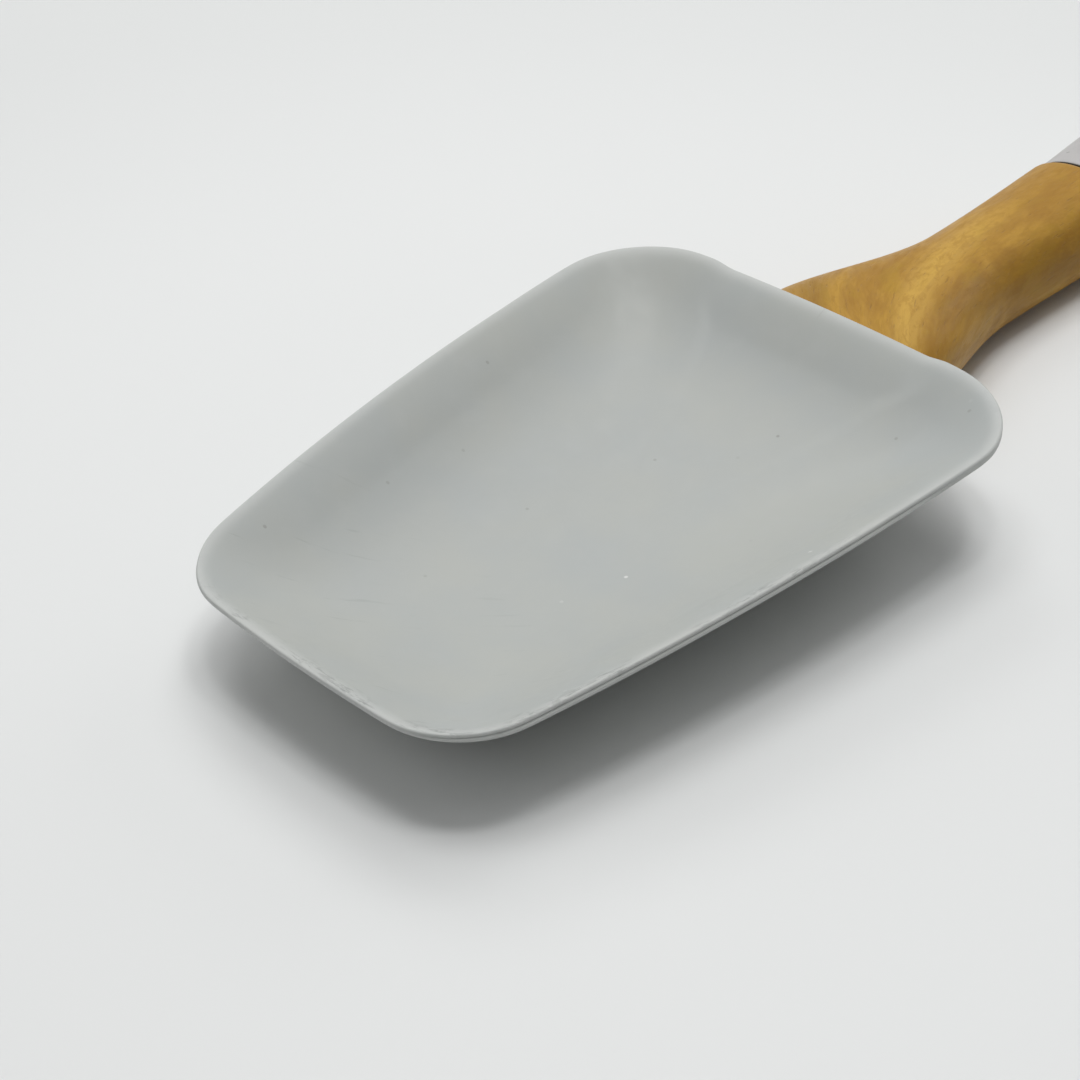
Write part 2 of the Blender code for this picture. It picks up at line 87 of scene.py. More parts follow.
# Each lamp's name, the way to it from the aim, its distance, its width and its watts
LAMPS = (("core_lamp", (0.0, 0.0, 1.0), 1.3, 0.20, 1.93),
         ("second_core_lamp", (0.15, -0.15, 1.0), 1.3, 0.20, 1.53),
         ("rear_lamp", (0.30, 0.0, 1.0), 1.3, 0.50, 2.42),
         ("left_lamp", (0.0, 0.30, 1.0), 1.3, 0.50, 2.80),
         ("far_rear_lamp", (0.60, 0.30, 1.0), 1.3, 0.50, 2.11),
         ("far_left_lamp", (0.60, 0.90, 1.0), 1.3, 0.50, 1.82),
         ("right_lamp", (0.0, -0.30, 1.0), 1.3, 0.50, 0.72),
         ("end_panel", (1.0, 0.0, 0.45), 2.0, 1.2, 3.8),
         ("tip_panel", (-0.5, 0.87, 0.45), 2.0, 1.2, 5.1))


def node(tree, kind, inputs=(), **settings):
    """A shader node with its settings, and its inputs given as values or as other sockets."""
    new = tree.nodes.new(kind)
    for name, value in settings.items():
        setattr(new, name, value)
    for name, value in dict(inputs).items():
        if isinstance(value, bpy.types.NodeSocket):
            tree.links.new(value, new.inputs[name])
        else:
            new.inputs[name].default_value = value
    return new


def principled(name, roughness, **sockets):
    """A new material, its node tree and its Principled shader, with plain socket values set."""
    material = bpy.data.materials.new(name)
    material.use_nodes = True
    tree = material.node_tree
    shader = tree.nodes["Principled BSDF"]
    shader.inputs["Roughness"].default_value = roughness
    for socket, value in sockets.items():
        shader.inputs[socket.replace("_", " ")].default_value = value
    return material, tree, shader


def band(tree, value, low, high, start=0.0, end=1.0):
    """A value's range from low to high, spread smoothly from start to end and held beyond."""
    made = node(tree, "ShaderNodeMapRange", {"Value": value, "From Min": low, "From Max": high,
                                             "To Min": start, "To Max": end},
                interpolation_type="SMOOTHSTEP")
    return made.outputs["Result"]


def blend(tree, share, first, second):
    """A colour between two colours, by a share from 0 to 1."""
    made = node(tree, "ShaderNodeMix", data_type="RGBA")
    for socket, value in (("Factor_Float", share), ("A_Color", first), ("B_Color", second)):
        target = next(s for s in made.inputs if s.identifier == socket)
        if isinstance(value, bpy.types.NodeSocket):
            tree.links.new(value, target)
        elif socket == "Factor_Float":
            target.default_value = value
        else:
            target.default_value = (*value, 1.0)
    return next(s for s in made.outputs if s.identifier == "Result_Color")


def math_node(tree, operation, first, second=0.0):
    """The result of one sum or other operation on two values."""
    return node(tree, "ShaderNodeMath", {0: first, 1: second}, operation=operation).outputs["Value"]


def times(tree, first, second):
    """The product of two values."""
    return math_node(tree, "MULTIPLY", first, second)


def seen_directly(tree):
    """One for camera, mirror and glass rays, none for the rays that light the object."""
    rays = node(tree, "ShaderNodeLightPath").outputs
    total = rays["Is Camera Ray"]
    for other in ("Is Glossy Ray", "Is Transmission Ray"):
        total = node(tree, "ShaderNodeMath", {0: total, 1: rays[other]}, operation="ADD",
                     use_clamp=True).outputs["Value"]
    return total


table_mesh = bpy.data.meshes.new("table_top")
corners = [(x * TABLE_HALF, y * TABLE_HALF, 0.0) for x, y in ((-1, -1), (1, -1), (1, 1), (-1, 1))]
table_mesh.from_pydata(corners, [], [(0, 1, 2, 3)])
table_top = bpy.data.objects.new("table_top", table_mesh)
bpy.context.collection.objects.link(table_top)
table_paint, tree, shader = principled("table_paint", 0.60)
place = node(tree, "ShaderNodeTexCoord").outputs["Object"]
away = node(tree, "ShaderNodeVectorMath", {0: place, 1: LAMPS_AIM}, operation="DISTANCE").outputs["Value"]
# Painted shade: the table's colour turns greyer away from the lamps' aim.
painted_falloff_shade = band(tree, away, TABLE_TURN_START, TABLE_TURN_END)
tree.links.new(blend(tree, painted_falloff_shade, TABLE_COLOUR, TABLE_FALLOFF_SHADE_COLOUR), shader.inputs["Base Color"])
fade = times(tree, band(tree, away, FADE_START, FADE_END), seen_directly(tree))
glow = node(tree, "ShaderNodeEmission", {"Color": (*BACKDROP_COLOUR, 1.0), "Strength": 1.0})
faded = node(tree, "ShaderNodeMixShader", {0: fade, 1: shader.outputs["BSDF"], 2: glow.outputs["Emission"]})
tree.links.new(faded.outputs["Shader"], tree.nodes["Material Output"].inputs["Surface"])
table_mesh.materials.append(table_paint)

room = bpy.data.worlds.new("room")
room.use_nodes = True
bpy.context.scene.world = room
tree = room.node_tree
ambient = tree.nodes["Background"]
ambient.inputs["Color"].default_value = (1.0, 1.0, 1.0, 1.0)
ambient.inputs["Strength"].default_value = ROOM_STRENGTH
backdrop = node(tree, "ShaderNodeBackground", {"Color": (*BACKDROP_COLOUR, 1.0), "Strength": 1.0})
sky = node(tree, "ShaderNodeMixShader", {0: seen_directly(tree), 1: ambient.outputs["Background"],
                                         2: backdrop.outputs["Background"]})
tree.links.new(sky.outputs["Shader"], tree.nodes["World Output"].inputs["Surface"])

for name, toward, distance, width, watts in LAMPS:
    lamp_data = bpy.data.lights.new(name, "AREA")
    lamp_data.shape = "DISK"
    lamp_data.size = width
    lamp_data.energy = watts
    lamp = bpy.data.objects.new(name, lamp_data)
    toward = Vector(toward).normalized()
    lamp.location = LAMPS_AIM + toward * distance
    lamp.rotation_euler = toward.to_track_quat("Z", "Y").to_euler()
    bpy.context.collection.objects.link(lamp)


# Scoop
# One moulding of soft grey silicone over a stiff core: a shallow smooth dish with a rolled
# lip and a fine parting line round its edge. A boss under its rear runs out to the wood.
skin_low, skin_high = (Vector(corner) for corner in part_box("blade_skin"))
# The rim from above
HEAD_LENGTH = 0.0909
SHOULDER_WIDTH = 0.0700
TIP_WIDTH = 0.0483
SHOULDER_CORNER_RADIUS = 0.0116
TIP_CORNER_RADIUS = 0.0102
SIDE_BOW = 0.0027
TIP_BOW = 0.0014
REAR_BOW = 0.0005
# The rim from the side, which rises to the handle
RIM_PITCH = math.radians(2.2)
SIDE_RISE = 0.0007
EDGE_CROWN = 0.0012
REAR_SAG = 0.0005
REAR_SAG_REACH = 0.0200
REAR_SAG_EASE = 0.0040
# The bowl, and its wall over the core
BOWL_DEPTH = 0.0113
BOWL_POWER = 2.2
LIP_FLATTEN = 0.0017
UNDER_FLATTEN = 0.0012
FULL_WALL = 0.0044
WALL_EASE = 2.5
CORE_REACH = 0.797
CORNER_DELAY = 0.38
NEAR_LIP = 0.0030
LEVEL_REACH = 0.0060
LEVEL_SOFTENING = 0.27
ELLIPSE_SHARE = 0.90
# The lip, which rolls over and under by shares of its thickness
LIP_THICK = 0.00125
LIP_THIN = 0.0008
LIP_ROLL = 0.27
LIP_UNDER_ROLL = 0.25
LEDGE = 0.00020
GROOVE = 0.00011
FLANK_END = 0.062
FLANK_FADE = 0.016
# Wear, by distance round the rim from its rear and in from it
WORN_FROM = (0.058, 0.076)
WORN_TO = (0.165, 0.150)
RUB_REACH = 0.0026
RUB_FULL = 0.0006
CLEAN_LIP = 0.0004
SCUFF_DEPTH = 0.000012
WIPE_REACH = 0.0400
WIPE_TURN = (0.0, 0.0, math.radians(45))
# Finish
SKIN_GRAIN = 0.000004
# How far in from the rim the painted highlight along the lip reaches
RIM_HIGHLIGHT_REACH = 0.0022
RIM_HIGHLIGHT_FULL = 0.0002
SILICONE_COOL = (0.398, 0.418, 0.410)
SILICONE_WARM = (0.420, 0.433, 0.409)
SILICONE_LIGHT = (0.448, 0.463, 0.449)
SILICONE_RIM_HIGHLIGHT = (0.525, 0.537, 0.522)
SCUFF = (0.230, 0.240, 0.232)
DUST_DARK = (0.270, 0.270, 0.250)
DUST_LIGHT = (0.800, 0.800, 0.780)
# Mesh
RIM_STEPS = 480
ARC_STEPS = 41
DIRECTIONS = 1440
RIM_SOFTENING = 2.0
INWARD_SOFTENING = 3.0
BOWL_RINGS = 58
NEAR_LIP_RINGS = 14
LIP_ROLL_RINGS = 9
UNDER_ROLL_RINGS = 7
POINTS_AT_ONCE = 4000
# Places
TIP_X = skin_low.x + TIP_BOW
BOWL_HALF_WIDTH = (TIP_WIDTH + SHOULDER_WIDTH) / 4 + SIDE_BOW


def unit(vectors):
    """Vectors scaled to length one."""
    return vectors / np.linalg.norm(vectors, axis=-1, keepdims=True)


def ease(t):
    """Smooth step, level at both ends: 3t^2 - 2t^3 for t held from 0 to 1."""
    t = np.clip(t, 0.0, 1.0)
    return t * t * (3 - 2 * t)


def even_steps(points, count):
    """A closed line's points, moved along it to even steps."""
    closed = np.concatenate([points, points[:1]])
    length = np.concatenate([[0.0], np.cumsum(np.linalg.norm(np.diff(closed, axis=0), axis=1))])
    at = np.linspace(0.0, length[-1], count, endpoint=False)
    return np.stack([np.interp(at, length, closed[:, k]) for k in range(points.shape[1])], axis=1)


def rounded_polygon(corner_points, radii):
    """A polygon with an arc at each corner.

    The arc's centre lies on the corner's bisector at radius / sin(half angle), and the arc
    turns by the rest of a quarter turn to either side of that bisector.
    """
    u = unit(np.roll(corner_points, 1, axis=0) - corner_points)
    v = unit(np.roll(corner_points, -1, axis=0) - corner_points)
    half_angle = np.arccos(np.sum(u * v, axis=1)) / 2
    inward = unit(u + v)
    centre = corner_points + inward * (radii / np.sin(half_angle))[:, None]
    turn = (math.pi / 2 - half_angle)[:, None] * np.linspace(-1, 1, ARC_STEPS)
    along = unit(v - u)
    arcs = -inward[:, None] * np.cos(turn)[..., None] + along[:, None] * np.sin(turn)[..., None]
    return (centre[:, None] + arcs * radii[:, None, None]).reshape(-1, 2)


def softened(values, steps):
    """Values along a closed line, blurred by a bell curve so many steps wide, by their Fourier sum."""
    wave = 2 * math.pi * np.fft.rfftfreq(len(values))
    spectrum = np.fft.rfft(values, axis=0) * np.exp(-0.5 * (wave * steps) ** 2)[:, None]
    return np.fft.irfft(spectrum, len(values), axis=0)


def rim_line():
    """The rim from above: a trapezium with round corners, its edges bowed outwards.

    The bow is a parabola along each edge. The tip's fades over a quarter length, and the
    rear's as the fourth power of the way back from the middle.
    The line starts from the middle of the rear edge and runs by way of the -Y side.
    """
    half_tip, half_shoulder = TIP_WIDTH / 2, SHOULDER_WIDTH / 2
    trapezium = np.array([(0, -half_tip), (0, half_tip), (HEAD_LENGTH, half_shoulder),
                          (HEAD_LENGTH, -half_shoulder)], dtype=float)
    radii = np.array([TIP_CORNER_RADIUS] * 2 + [SHOULDER_CORNER_RADIUS] * 2)
    x, y = even_steps(rounded_polygon(trapezium, radii), RIM_STEPS).T
    along = 2 * x / HEAD_LENGTH - 1
    half_width = half_tip + (half_shoulder - half_tip) * x / HEAD_LENGTH
    front = np.maximum(0.0, 1 - 4 * x / HEAD_LENGTH)
    bowed_x = x - TIP_BOW * front * (1 - (y / half_tip) ** 2)
    bowed_x += REAR_BOW * np.maximum(0.0, along) ** 4 * (1 - (y / half_shoulder) ** 2)
    bowed_y = y + SIDE_BOW * (1 - along ** 2) * y / half_width
    line = softened(even_steps(np.stack([bowed_x, bowed_y], axis=1), RIM_STEPS), RIM_SOFTENING)
    line[:, 1] *= skin_high.y / np.abs(line[:, 1]).max()
    return np.roll(line, -np.argmax(line[:, 0] - np.abs(line[:, 1])), axis=0)


def level_line(reach, distance):
    """The bowl's level line at a distance in from the rim, as the curve that tangents wrap.

    The rim's reach is how far from the middle its tangent lies, for each direction. It comes
    in by the distance, a blur over the directions that grows inwards rounds the corners, and
    near the middle it eases over to an ellipse's. A tangent touches the curve at its reach
    along the direction, and at the reach's rate of change beside that.
    """
    turn = 2 * math.pi * np.arange(DIRECTIONS) / DIRECTIONS
    wave = np.arange(DIRECTIONS // 2 + 1)
    share = distance / BOWL_HALF_WIDTH
    spectrum = np.fft.rfft(reach) * np.exp(-0.5 * (wave * LEVEL_SOFTENING * share) ** 2)
    level = np.fft.irfft(spectrum, DIRECTIONS) - distance
    ellipse = (1 - share) * np.hypot(HEAD_LENGTH / 2 * np.cos(turn), BOWL_HALF_WIDTH * np.sin(turn))
    level += (ellipse - level) * ease(share / ELLIPSE_SHARE) ** 2
    beside = np.fft.irfft(1j * wave * np.fft.rfft(level), DIRECTIONS)
    x = HEAD_LENGTH / 2 + level * np.cos(turn) - beside * np.sin(turn)
    y = -level * np.sin(turn) - beside * np.cos(turn)
    return even_steps(np.stack([x, y], axis=1), RIM_STEPS)


def scoop_point(place, height):
    """A point in the frame, from its place in the rim's plane and its height over it.

    The rim's plane is tilted about the tip, so that it rises to the handle.
    """
    x, y = place[..., 0], place[..., 1]
    cos, sin = math.cos(RIM_PITCH), math.sin(RIM_PITCH)
    return np.stack([TIP_X + x * cos - height * sin, y, x * sin + height * cos], axis=-1)


def rim_height(line):
    """The rim's height over its plane.

    It arches along the sides, drops towards them and sags a little where it meets the boss.
    """
    along = 2 * line[:, 0] / HEAD_LENGTH - 1
    height = SIDE_RISE * (1 - along ** 2) - EDGE_CROWN * (2 * line[:, 1] / SHOULDER_WIDTH) ** 2
    boss_share = ease((REAR_SAG_REACH - np.abs(line[:, 1])) / REAR_SAG_EASE)
    return height - REAR_SAG * np.maximum(0.0, along) ** 8 * boss_share


def bowl_height(rim_z, distance, flatten):
    """A face of the bowl: depth falls as a power of the scale, and levels out towards the rim."""
    scale = 1 - distance / BOWL_HALF_WIDTH
    depth = (BOWL_DEPTH + flatten) * (1 - scale ** BOWL_POWER)
    return rim_z * scale ** 2 - (np.hypot(depth, flatten) - flatten)


def roll(distance, radius):
    """How far a quarter-round edge falls away, at a distance in from where it stands upright."""
    left = np.clip(radius - distance, 0.0, radius)
    return radius - np.sqrt(radius ** 2 - left ** 2)


def quarter(steps):
    """Shares from 1 to 0 that space the steps of a quarter round evenly."""
    return 1 - np.sin(np.linspace(0, math.pi / 2, steps))


def mark_rim(mesh):
    """Store how far round the rim and how far in from it each point lies, seen from above.

    The nearest of the rim's own points gives both: its place round the rim, with the rest
    measured along the tangent there, and its distance.
    """
    line = rim_line()
    line = np.stack([TIP_X + line[:, 0] * math.cos(RIM_PITCH), line[:, 1]], axis=1)
    tangent = unit(np.roll(line, -1, axis=0) - np.roll(line, 1, axis=0))
    step = np.linalg.norm(np.diff(line, axis=0), axis=1).mean()
    place = np.empty(len(mesh.vertices) * 3)
    mesh.vertices.foreach_get("co", place)
    place = place.reshape(-1, 3)[:, :2]
    marks = np.zeros((len(place), 3))
    for start in range(0, len(place), POINTS_AT_ONCE):
        batch = slice(start, start + POINTS_AT_ONCE)
        away = place[batch, None] - line
        nearest = np.argmin((away ** 2).sum(axis=-1), axis=1)
        chosen = away[np.arange(len(nearest)), nearest]
        marks[batch, 0] = nearest * step + (chosen * tangent[nearest]).sum(axis=1)
        marks[batch, 1] = np.linalg.norm(chosen, axis=1)
    attribute = mesh.attributes.new("rim_place", "FLOAT_VECTOR", "POINT")
    attribute.data.foreach_set("vector", marks.ravel())


def scoop_rings():
    """All rings of the dish: the upper face outwards, round the lip, the underside inwards.

    A ring is set by its distance in from the rim. By the lip each point steps straight in,
    and further in the ring eases over to the level line. Upper face: the bowl's height less
    the lip's roll. Side: a groove at the parting line and a ledge below it, both fading out
    towards the tip and the shoulders. Underside: the bowl's height less a wall that thickens,
    later at the corners, where the core lies further in.
    """
    line = rim_line()
    tangent = unit(np.roll(line, -1, axis=0) - np.roll(line, 1, axis=0))
    inward = unit(softened(tangent[:, ::-1] * (1, -1), INWARD_SOFTENING))
    rim_z = rim_height(line)
    flank = (1 - tangent[:, 1] ** 4) * (1 - ease((line[:, 0] - FLANK_END) / FLANK_FADE))
    lip = LIP_THIN + (LIP_THICK - LIP_THIN) * tangent[:, 0] ** 2
    over, under, ledge = LIP_ROLL * lip, LIP_UNDER_ROLL * lip, LEDGE * flank

    shares = np.linspace(1, 0, BOWL_RINGS)[:-1, None]
    inner_in = NEAR_LIP + (BOWL_HALF_WIDTH - NEAR_LIP) * shares[1:]
    near_in = ledge + over + (NEAR_LIP - ledge - over) * np.linspace(1, 0, NEAR_LIP_RINGS)[:-1, None]
    roll_in = ledge + over * quarter(LIP_ROLL_RINGS)[:, None]
    upper_in = np.concatenate([inner_in + 0 * ledge, near_in, roll_in])
    upper_z = bowl_height(rim_z, upper_in, LIP_FLATTEN) - roll(upper_in - ledge, over)

    groove_share = np.array([1.0, 0.95, 0.7, 0.3, 0.0])[:, None]
    groove_dip = np.array([0.0, 1.0, 1.0, 0.0, 0.0])[:, None]
    side_in = ledge * groove_share + GROOVE * flank * groove_dip
    side_share = np.array([0.15, 0.30, 0.42, 0.55, 0.85])[:, None]
    side_z = rim_z - over - side_share * (lip - over - under)

    under_roll_in = under * quarter(UNDER_ROLL_RINGS)[::-1, None]
    lower_in = np.concatenate([under_roll_in, near_in[::-1], inner_in[::-1] + 0 * ledge])
    cornering = (2 * tangent[:, 0] * tangent[:, 1]) ** 2
    core_in = (1 - CORE_REACH) * BOWL_HALF_WIDTH * (1 + CORNER_DELAY * cornering)
    wall = lip + (FULL_WALL - lip) * ease(lower_in / core_in) ** WALL_EASE
    lower_z = bowl_height(rim_z, lower_in, UNDER_FLATTEN) - wall + roll(lower_in, under)

    turn = -2 * math.pi * np.arange(DIRECTIONS) / DIRECTIONS
    around = np.stack([np.cos(turn), np.sin(turn)])
    reach = ((line - (HEAD_LENGTH / 2, 0.0)) @ around).max(axis=0)
    levels = np.stack([level_line(reach, distance) for distance in inner_in[:, 0]])
    place = line + inward * np.concatenate([upper_in, side_in, lower_in])[..., None]
    share = ease((inner_in - NEAR_LIP) / LEVEL_REACH)[..., None]
    count = len(levels)
    place[:count] += (levels - place[:count]) * share
    place[-count:] += (levels[::-1] - place[-count:]) * share[::-1]
    rings = scoop_point(place, np.concatenate([upper_z, side_z, lower_z]))
    rings[..., 2] += skin_high.z - rings[..., 2].max()
    rings[..., 2] = np.maximum(rings[..., 2], 0.0)
    return rings


def closed_body(name, rings):
    """A closed mesh over rings[row, step], with a fan of faces to a point inside each end ring.

    Each face joins two steps of one ring to the same steps of the next. The faces point
    outwards where the rings turn anticlockwise, seen from where the last ring lies.
    """
    rows, steps = rings.shape[:2]
    poles = np.stack([rings[0].mean(axis=0), rings[-1].mean(axis=0)])
    points = np.concatenate([rings.reshape(-1, 3), poles])
    here = np.arange(rows - 1)[:, None] * steps + np.arange(steps)
    beside = np.arange(rows - 1)[:, None] * steps + (np.arange(steps) + 1) % steps
    quads = np.stack([here, beside, beside + steps, here + steps], axis=-1).reshape(-1, 4)
    step = np.arange(steps)
    after = (step + 1) % steps
    last = (rows - 1) * steps
    first_fan = np.stack([np.full(steps, rows * steps), after, step], axis=-1)
    last_fan = np.stack([np.full(steps, rows * steps + 1), last + step, last + after], axis=-1)
    mesh = bpy.data.meshes.new(name)
    mesh.from_pydata(points.tolist(), [], quads.tolist() + first_fan.tolist() + last_fan.tolist())
    mesh.shade_smooth()
    made = bpy.data.objects.new(name, mesh)
    bpy.context.collection.objects.link(made)
    return made


# The boss and its fillet
BOSS_LENGTH = 0.0360
BOSS_NOSE_WIDTH = 0.0120
BOSS_DEPTH_IN_WALL = 0.0015
FILLET_REACH = 0.0035
FILLET_ROUNDS = 60
FIT_GAP = 0.0003
# The collar, where the boss meets the wood's flare
FLARE_WIDTH = 0.0288
FLARE_HEIGHT = 0.0132
FLARE_LIFT = 0.0015
FLARE_SQUARENESS = 2.8
NECK_SQUARENESS = 2.3
EDGE_ROUND = 0.0004
# Mesh
BOSS_RINGS = 60
BOSS_STEPS = 96
SCALE_STEPS = 200
ROUND_STEPS = 9
SOFT_CREASE = math.radians(50)
# Places
COLLAR_X = skin_high.x
BOSS_X = COLLAR_X - BOSS_LENGTH


def ovals(x, half_width, bottom, top, squareness, steps=BOSS_STEPS):
    """Rings across X, each an oval |y/a|^n + |z/b|^n = 1 that grows squarer with n.

    The table cuts them flat at z = 0.
    """
    turn = 2 * math.pi * (np.arange(steps) + 0.5) / steps
    given = (x, half_width, bottom, top, squareness)
    x, half_width, bottom, top, squareness = (np.broadcast_to(value, np.shape(x))[:, None] for value in given)
    power = 2 / squareness
    y = half_width * np.sign(np.cos(turn)) * np.abs(np.cos(turn)) ** power
    z = (top - bottom) / 2 * np.sign(np.sin(turn)) * np.abs(np.sin(turn)) ** power
    height = np.maximum((top + bottom) / 2 + z, 0.0)
    return np.stack([x + 0 * y, y, height], axis=-1)


def rounded_ends(first, last, front, rear, steps):
    """Places along X and how far a ring there is drawn in, to round a body's ends by two radii.

    Each round is a quarter circle: 1 - cos along X, and 1 - sin inwards.
    """
    turn = np.linspace(0, math.pi / 2, ROUND_STEPS)
    along, inward = 1 - np.cos(turn), 1 - np.sin(turn)
    x, inset = [np.linspace(first + front, last - rear, steps)], [np.zeros(steps)]
    if front:
        x.insert(0, first + front * along[:-1])
        inset.insert(0, front * inward[:-1])
    if rear:
        x.append(last - rear * along[-2::-1])
        inset.append(rear * inward[-2::-1])
    return np.concatenate(x), np.concatenate(inset)


def boss_rings():
    """Rings of the boss: it widens backwards by a quarter sine, and its underside runs straight.

    Its top stays under the bowl's, whose height is read on the middle line, where the level
    lines of all scales cross it.
    """
    x, inset = rounded_ends(BOSS_X, COLLAR_X, 0.0, EDGE_ROUND, BOSS_RINGS)
    t = (x - BOSS_X) / BOSS_LENGTH
    scales = np.linspace(0, 1, SCALE_STEPS)
    stepped, shrunk = HEAD_LENGTH - (1 - scales) * BOWL_HALF_WIDTH, HEAD_LENGTH / 2 * (1 + scales)
    along = stepped + (shrunk - stepped) * ease((1 - scales) / ELLIPSE_SHARE) ** 2
    scale = np.interp(x - TIP_X, along, scales)
    depth = BOWL_DEPTH * (1 - scale ** BOWL_POWER)
    bowl_top = skin_high.z + (x - TIP_X - HEAD_LENGTH) * math.sin(RIM_PITCH) - depth
    half_width = (BOSS_NOSE_WIDTH + (FLARE_WIDTH - BOSS_NOSE_WIDTH) * np.sin(t * math.pi / 2)) / 2
    nose_bottom = bowl_top[0] - FULL_WALL + FIT_GAP
    bottom = nose_bottom + (FLARE_LIFT - nose_bottom) * t
    top = np.minimum(FLARE_LIFT + FLARE_HEIGHT, bowl_top - BOSS_DEPTH_IN_WALL)
    squareness = NECK_SQUARENESS + (FLARE_SQUARENESS - NECK_SQUARENESS) * ease(t)
    return ovals(x, half_width - inset, bottom + inset, top - inset, squareness)


def baked(piece):
    """Replace a piece's mesh by what its modifiers make of it, and drop them."""
    shown = piece.evaluated_get(bpy.context.evaluated_depsgraph_get())
    mesh = bpy.data.meshes.new_from_object(shown)
    piece.modifiers.clear()
    piece.data = mesh


def combine(piece, operation, tool):
    """Join a tool onto a piece or cut it out of it, and throw the tool away."""
    modifier = piece.modifiers.new(tool.name, "BOOLEAN")
    modifier.operation = operation
    modifier.object = tool
    modifier.solver = "EXACT"
    baked(piece)
    bpy.data.objects.remove(tool)


def melt_join(mesh, reach, rounds):
    """Turn the sharp join between a mesh's two materials into a soft fillet.

    Each point near the join moves again and again towards the mean of its neighbours, by a
    share that eases from one at the join to none at the reach.
    """
    count = len(mesh.vertices)
    place = np.empty(count * 3)
    mesh.vertices.foreach_get("co", place)
    place = place.reshape(-1, 3)
    corner = np.empty(len(mesh.loops), dtype=int)
    mesh.loops.foreach_get("vertex_index", corner)
    sides = np.empty(len(mesh.polygons), dtype=int)
    mesh.polygons.foreach_get("loop_total", sides)
    part = np.empty(len(mesh.polygons), dtype=int)
    mesh.polygons.foreach_get("material_index", part)
    part = np.repeat(part, sides)
    on_first = np.bincount(corner[part == 0], minlength=count) > 0
    on_second = np.bincount(corner[part == 1], minlength=count) > 0
    join = place[on_first & on_second]
    near = np.full(count, np.inf)
    for start in range(0, count, POINTS_AT_ONCE):
        batch = slice(start, start + POINTS_AT_ONCE)
        away = place[batch, None] - join
        near[batch] = np.sqrt((away ** 2).sum(axis=-1)).min(axis=1)
    share = ease(1 - near / reach)[:, None]
    pairs = np.empty(len(mesh.edges) * 2, dtype=int)
    mesh.edges.foreach_get("vertices", pairs)
    pairs = np.concatenate([pairs.reshape(-1, 2), pairs.reshape(-1, 2)[:, ::-1]])
    neighbours = np.bincount(pairs[:, 0], minlength=count)[:, None]
    for _ in range(rounds):
        total = [np.bincount(pairs[:, 0], place[pairs[:, 1], k], minlength=count) for k in range(3)]
        place += share * (np.stack(total, axis=1) / neighbours - place)
    mesh.vertices.foreach_set("co", place.ravel())
    mesh.polygons.foreach_set("material_index", np.zeros(len(mesh.polygons), dtype=int))
    mesh.update()


scoop = closed_body("scoop", scoop_rings())
boss = closed_body("boss", boss_rings())
for mesh in (scoop.data, boss.data):
    mesh.materials.append(None)
    mesh.materials.append(None)
boss.data.polygons.foreach_set("material_index", np.ones(len(boss.data.polygons), dtype=int))
combine(scoop, "UNION", boss)
melt_join(scoop.data, FILLET_REACH, FILLET_ROUNDS)
scoop.data.shade_smooth()
scoop.data.set_sharp_from_angle(angle=SOFT_CREASE)
mark_rim(scoop.data)
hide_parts("blade_skin")
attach(scoop, "root")


def noise(tree, place, scale, detail=2.0, roughness=0.5, distortion=0.0):
    """Fractal noise over a place, with so many features to the metre, from 0 to 1."""
    made = node(tree, "ShaderNodeTexNoise", {"Vector": place, "Scale": scale, "Detail": detail,
                                             "Roughness": roughness, "Distortion": distortion})
    return made.outputs["Fac"]


def specks(tree, place, per_metre, rarity, size):
    """Small spots seen from above, from 0 beside them up to 1.

    The plane is split into cells round random points. A cell whose random number is over the
    rarity holds one spot at its point, of a random strength, which fades out from one to two
    sizes away.
    """
    cell = node(tree, "ShaderNodeTexVoronoi", {"Vector": place, "Scale": per_metre, "Randomness": 1.0},
                voronoi_dimensions="2D")
    first, second, _ = node(tree, "ShaderNodeSeparateColor", {"Color": cell.outputs["Color"]}).outputs
    chosen = times(tree, math_node(tree, "GREATER_THAN", first, rarity), second)
    return times(tree, chosen, band(tree, cell.outputs["Distance"], 2 * size, size))


def bump(tree, height, depth, below=None):
    """A surface normal raised by a height from 0 to 1 times a depth in metres."""
    inputs = {"Height": height, "Distance": depth, "Strength": 1.0}
    if below is not None:
        inputs["Normal"] = below
    return node(tree, "ShaderNodeBump", inputs).outputs["Normal"]


def stretch(tree, place, scale):
    """A place with each axis multiplied, so that a pattern on it is drawn out or packed closer."""
    return node(tree, "ShaderNodeMapping", {"Vector": place, "Scale": scale}).outputs["Vector"]


silicone, tree, shader = principled("grey_silicone", 0.46, Specular_IOR_Level=0.40)
spot = node(tree, "ShaderNodeTexCoord").outputs["Object"]
rim_mark = node(tree, "ShaderNodeAttribute", attribute_name="rim_place").outputs["Vector"]
round_rim, from_rim, _ = node(tree, "ShaderNodeSeparateXYZ", {"Vector": rim_mark}).outputs
x = node(tree, "ShaderNodeSeparateXYZ", {"Vector": spot}).outputs["X"]
from_tip = math_node(tree, "SUBTRACT", x, TIP_X)
clouds = noise(tree, spot, 55.0, 3.0, 0.5)
mottle = noise(tree, spot, 320.0, 3.0, 0.6)
grain = noise(tree, spot, 4200.0, 2.0, 0.6)
colour = blend(tree, band(tree, clouds, 0.30, 0.70), SILICONE_COOL, SILICONE_WARM)
colour = blend(tree, times(tree, band(tree, mottle, 0.45, 0.75), 0.22), colour, SILICONE_LIGHT)
